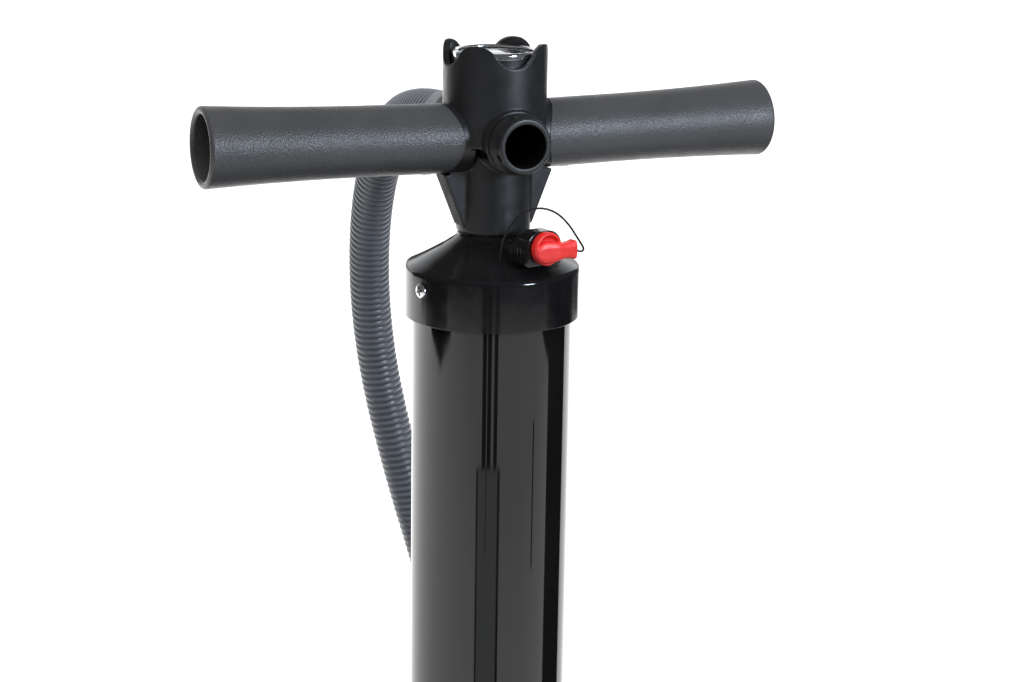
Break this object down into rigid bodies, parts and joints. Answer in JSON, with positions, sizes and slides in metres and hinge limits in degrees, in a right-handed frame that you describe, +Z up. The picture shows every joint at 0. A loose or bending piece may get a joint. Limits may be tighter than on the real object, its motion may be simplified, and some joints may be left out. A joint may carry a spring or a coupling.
{
  "type": "stand-up hand pump",
  "caption": "Stand-up hand pump: glossy black barrel on a foot plate, T-handle with hollow grips, scalloped gauge housing, open threaded port, ribbed grey hose and a red tethered plug.",
  "frame": {"origin": "on the pump's axis at the floor, centre of the bounding box's underside without the hose and tether", "axes": "+Z up along the barrel and rod; X along the grips; -Y is the side of the open front port, +Y the side the hose leaves"},
  "size_m": [0.4731, 0.4529, 0.6155],
  "materials": {
    "gloss_black": "glossy",
    "base_plastic": "satin, lightly textured",
    "black_rubber": "matte",
    "black_screw": "black oxide",
    "steel": "zinc plated",
    "white_plastic": "smooth",
    "tether_nylon": "satin",
    "fitting_plastic": "satin",
    "rod_metal": "drawn, polished",
    "hub_plastic": "satin",
    "nut_plastic": "satin",
    "grip_plastic": "fine grain",
    "gauge_case_black": "satin",
    "gauge_brass": "machined",
    "dial_white": "printed",
    "needle_red": "satin",
    "lens_clear": "polished",
    "bezel_black": "polished chrome",
    "plug_red": "glossy",
    "hose_grey": "ribbed, satin"
  },
  "bodies": {
    "pump_body": {"barrel_tube": "gloss_black", "base_plate": "base_plastic", "foot_treads": "black_rubber", "base_feet": "black_rubber", "base_screws": "black_screw", "base_seal": "black_rubber", "bottom_bumper": "black_rubber", "top_cap": "gloss_black", "cap_seal": "black_rubber", "cap_screws": "steel", "rod_seal": "black_rubber", "seal_retainer": "white_plastic", "tether": "tether_nylon"},
    "rod_guide": {"rod_bush": "white_plastic", "lower_cuff": "fitting_plastic", "valve_connector": "fitting_plastic", "connector_gasket": "black_rubber"},
    "handle": {"piston_rod": "rod_metal", "air_tube": "rod_metal", "piston_lower": "white_plastic", "piston_upper": "white_plastic", "piston_seal": "black_rubber", "piston_spacer": "white_plastic", "lower_flap": "black_rubber", "upper_flap": "black_rubber", "top_bumper": "black_rubber", "handle_hub": "hub_plastic", "rod_screw": "steel", "grip_left": "grip_plastic", "grip_right": "grip_plastic", "grip_screws": "steel", "gauge_case": "gauge_case_black", "gauge_stem": "gauge_brass", "gauge_seal": "black_rubber", "bourdon_tube": "gauge_brass", "gauge_movement": "gauge_brass", "gauge_dial": "dial_white", "gauge_lens": "lens_clear", "gauge_bezel": "bezel_black", "hose_washer": "black_rubber", "upper_cuff": "fitting_plastic", "hose": "hose_grey"},
    "needle": {"gauge_needle": "needle_red"},
    "plug": {"relief_plug": "plug_red", "plug_seal": "black_rubber"},
    "nut": {"hose_nut": "nut_plastic"},
    "valve_ring": {"connector_ring": "fitting_plastic"}
  },
  "joints": [
    {"name": "handle_swivel", "type": "hinge", "parent": "pump_body", "child": "rod_guide", "pos_m": [0, 0, 0.5], "axis": [0, 0, 1], "continuous": true},
    {"name": "handle_stroke", "type": "slide", "parent": "rod_guide", "child": "handle", "axis": [0, 0, 1], "range_m": [0, 0.384], "deforming": ["hose"]},
    {"name": "needle_turn", "type": "hinge", "parent": "handle", "child": "needle", "pos_m": [0, 0, 0.604], "axis": [0, 0, -1], "range_deg": [0, 270], "stiffness_Nm_per_rad": 0.002},
    {"name": "plug_pull", "type": "slide", "parent": "pump_body", "child": "plug", "axis": [0.2334, -0.9724, 0], "range_m": [0, 0.014], "deforming": ["tether"]},
    {"name": "nut_turn", "type": "hinge", "parent": "handle", "child": "nut", "pos_m": [0, 0.043, 0.5616], "axis": [0, 1, 0], "continuous": true},
    {"name": "valve_ring_turn", "type": "hinge", "parent": "rod_guide", "child": "valve_ring", "pos_m": [0.21673, -0.11073, 0.0143], "axis": [-0.3511, -0.9363, 0], "continuous": true}
  ]
}
